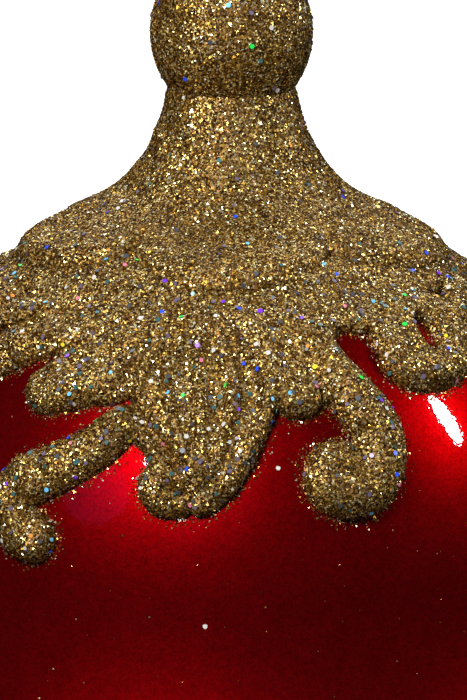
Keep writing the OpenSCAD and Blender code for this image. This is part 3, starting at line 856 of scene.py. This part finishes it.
nut_h, nut_flats, nut_steps = 3.2, 7.0, 96
nut_low = washer_low - nut_h
nut_turn = np.radians(np.arange(nut_steps) * 360 / nut_steps)[:, None]
hexagon = nut_flats / 2 / np.cos((nut_turn + np.pi / 6) % (np.pi / 3) - np.pi / 6)
chamfer = np.minimum(hexagon, nut_flats / 2 * 1.06)
nut_rows = [(2.05, nut_low + 0.3), (2.5, nut_low), (chamfer * 0.96, nut_low),
            (chamfer, nut_low + 0.25), (hexagon, nut_low + 0.6), (hexagon, washer_low - 0.6),
            (chamfer, washer_low - 0.25), (chamfer * 0.96, washer_low), (2.5, washer_low),
            (2.05, washer_low - 0.3)]
nut_x, nut_y = np.cos(nut_turn), np.sin(nut_turn)
nut_points = np.stack([np.concatenate((r * nut_x, r * nut_y, np.full_like(nut_turn, z)), 1)
                       for r, z in nut_rows], 1)
solid("inner_nut_steel", nut_points.reshape(-1, 3), grid_faces(nut_steps, len(nut_rows)), "bell",
      "plated_steel", [steel], "inner_nut", sharp=20)

sleeve_low, sleeve_top = 44.6, 53.0
lower_eye_r, lower_eye_wire, lower_eye_z = 4.0, 1.2, 40.0
sleeve_outline = [(0.2, sleeve_low), (3.0, sleeve_low), (3.4, sleeve_low + 0.4),
                  (3.4, sleeve_low + 2.4), (3.15, sleeve_low + 2.7), (3.15, sleeve_top - 2.7),
                  (3.4, sleeve_top - 2.4), (3.4, sleeve_top - 0.3), (3.1, sleeve_top),
                  (2.05, sleeve_top), (2.05, sleeve_low + 2), (0.2, sleeve_low + 2)]
solid("lower_eye_steel", *joined(loop(lower_eye_r, lower_eye_wire, lower_eye_z, "X"),
                                 lathe(sleeve_outline, 64)),
      "bell", "plated_steel", [steel], "lower_eye")
link_r, link_wire, link_z = 4.5, 0.9, 33.75
solid("clapper_link_steel", *loop(link_r, link_wire, link_z, "Y"), "link", "plated_steel",
      [steel], "clapper_link")

# Clapper. A steel rod with an eye bent at its top, and a hollow glittered ball held between a
# turned collar and an end nut.
clapper_z = -55.04
clapper_r = 15.0
rod_r, rod_hole_r = 1.5, 1.55
rod_eye_r, rod_eye_wire, rod_eye_z = 3.9, 1.1, 27.5
rod_top = rod_eye_z - rod_eye_r
rod_low = clapper_z - clapper_r - 2.5
rod_outline = [(0.05, rod_low), (rod_r - 0.3, rod_low), (rod_r, rod_low + 0.3),
               (rod_r, rod_top - 1.6), (rod_r - 0.25, rod_top - 0.4), (0.9, rod_top + 0.2),
               (0.05, rod_top + 0.2)]
solid("clapper_rod_steel", *joined(loop(rod_eye_r, rod_eye_wire, rod_eye_z, "X"),
                                   lathe(rod_outline, 48)),
      "clapper", "plated_steel", [steel], "clapper_stem")
seat_r = 3.6
seat = math.degrees(math.acos(seat_r / clapper_r))
seat_z = clapper_r - 0.4
clapper_steps, clapper_rows = 240, 96
clapper_outline = ([(rod_hole_r, clapper_z - seat_z), (seat_r, clapper_z - seat_z)]
                   + arc(0, clapper_z, clapper_r, -seat, seat, clapper_rows)
                   + [(seat_r, clapper_z + seat_z), (rod_hole_r, clapper_z + seat_z)])
clapper_points, clapper_faces = lathe(clapper_outline, clapper_steps)
solid("clapper_ball_glittered", clapper_points, clapper_faces, "clapper", "gold_glitter",
      [ball_glitter], "clapper_ball")
clapper_skin = clapper_faces.reshape(clapper_steps, -1, 4)[:, 2:clapper_rows + 1].reshape(-1, 4)
glitter_on("clapper_ball", clapper_points, clapper_skin, "clapper", seed=31, grain_density=4.0,
           flake_density=0.02)
collar_z = clapper_z + seat_z
collar_outline = [(rod_hole_r, collar_z), (3.2, collar_z), (3.2, collar_z + 1.9),
                  (2.9, collar_z + 2.6), (2.3, collar_z + 3), (rod_hole_r, collar_z + 3)]
solid("clapper_collar_turned", *lathe(collar_outline, 64), "clapper", "gold_cap", [gold_cap],
      "clapper_collar")
end_top = clapper_z - seat_z
end_outline = [(0.05, end_top - 3.4), (1.6, end_top - 3.4), (2.6, end_top - 2.9),
               (3.2, end_top - 2), (3.2, end_top), (rod_hole_r, end_top),
               (rod_hole_r, end_top - 2.11), (0.05, end_top - 2.11)]
solid("clapper_nut_turned", *lathe(end_outline, 64), "clapper", "gold_cap", [gold_cap],
      "clapper_nut")

# Hidden pieces. The moulded plug and the steel spacer tube, shut away inside the ball and the
# crown. They stay as they are in the frame, in their own finishes.


def plug_colour(tree):
    """Bare moulded plastic, a little cloudy."""
    return ramp(tree, clouds(tree, 400.0), (0.3, (0.55, 0.42, 0.28)), (0.7, (0.62, 0.49, 0.34)))


plug_plastic = finish_of("plug_plastic", plug_colour, 0.0, 0.5)
for name, finish in (("locating_plug", plug_plastic), ("spacer_tube", steel)):
    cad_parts[name].data.materials.clear()
    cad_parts[name].data.materials.append(finish)

# Studio. A pale floor under the hanging bell, soft lamps round it and a white surround behind it.
# Lamps are placed by azimuth to the right of the front and by elevation, as seen from the bell.
floor_gap = 0.004
floor_mesh = bpy.data.meshes.new("floor")
floor_half = 6.0
floor_z = cad_low.z - floor_gap
floor_corners = [(x * floor_half, y * floor_half, floor_z)
                 for x, y in ((-1, -1), (1, -1), (1, 1), (-1, 1))]
floor_mesh.from_pydata(floor_corners, [], [(0, 1, 2, 3)])
floor_mesh.materials.append(finish_of("floor_white", (0.8, 0.8, 0.8), 0.0, 0.9,
                                      Emission_Color=(1.0, 1.0, 1.0), Emission_Strength=0.9))
floor = bpy.data.objects.new("floor", floor_mesh)
bpy.context.scene.collection.objects.link(floor)
floor.visible_glossy = False
floor.visible_diffuse = False

middle_right, middle_up = 0.36, 33.6
middle = Vector((middle_right * MM, 0, (equator + middle_up) * MM))


def toward(bearing, elevation):
    """A direction from the bell."""
    a, b = math.radians(bearing), math.radians(elevation)
    return Vector((math.cos(b) * math.sin(a), -math.cos(b) * math.cos(a), math.sin(b)))


def lamp(name, bearing, elevation, width, height, radiance, colour=(1, 1, 1), shape="RECTANGLE",
         distance=1.5):
    """A softbox that faces the bell, with its radiance as given."""
    light = bpy.data.lights.new(name, "AREA")
    light.shape = shape
    light.size, light.size_y = width, height
    light.energy = radiance * math.pi * width * height
    light.color = colour
    box = bpy.data.objects.new(name, light)
    way = toward(bearing, elevation)
    box.location = middle + way * distance
    box.rotation_mode = "QUATERNION"
    box.rotation_quaternion = way.to_track_quat("Z", "Y")
    box.visible_camera = False
    bpy.context.scene.collection.objects.link(box)


lamp("key_softbox", -24, 36, 0.39, 0.33, 62.0)
pink_w, pink_h, pink_steps = 0.62, 0.52, 12
for share in np.linspace(0.35, 1.0, pink_steps):
    lamp(f"pink_softbox_{share:.2f}", -48, 19, pink_w * share, pink_h * share, 0.48,
         (1.0, 0.05, 0.28), shape="ELLIPSE")
lamp("strip_right", 91.5, 27, 0.145, 0.36, 58.0, shape="ELLIPSE")
lamp("rear_top", 180, 62, 0.8, 0.5, 4.0)
lamp("rear_left", -155, 42, 0.5, 0.5, 4.0)
lamp("rear_right", 150, 45, 0.5, 0.5, 4.0)
lamp("small_front", -16.5, 15, 0.03, 0.05, 20.0)

world = bpy.data.worlds.new("surround")
world.use_nodes = True
bpy.context.scene.world = world
sky = world.node_tree
sky.nodes.clear()
rays = add(sky, "ShaderNodeLightPath")
scattered, mirrored, in_view = (0.21, 0.21, 0.21, 1), (0.012, 0.012, 0.012, 1), (1, 1, 1, 1)
glow = add(sky, "ShaderNodeMix",
           {0: rays.outputs["Is Glossy Ray"], 6: scattered, 7: mirrored}, data_type="RGBA")
seen = add(sky, "ShaderNodeMix",
           {0: rays.outputs["Is Camera Ray"], 6: glow.outputs[2], 7: in_view}, data_type="RGBA")
background = add(sky, "ShaderNodeBackground", {"Color": seen.outputs[2], "Strength": 1.0})
sky.links.new(background.outputs[0], add(sky, "ShaderNodeOutputWorld").inputs["Surface"])

camera_data = bpy.data.cameras.new("camera")
camera_data.lens = 857.0
camera_data.sensor_width = 36.0
camera_data.clip_end = 50.0
camera = bpy.data.objects.new("camera", camera_data)
camera_away = 3.0
camera_elevation = 11.0
view_way = toward(0, camera_elevation)
camera.location = middle + view_way * camera_away
camera.rotation_mode = "QUATERNION"
camera.rotation_quaternion = view_way.to_track_quat("Z", "Y")
bpy.context.scene.collection.objects.link(camera)
bpy.context.scene.camera = camera
bpy.context.scene.view_settings.view_transform = "Standard"
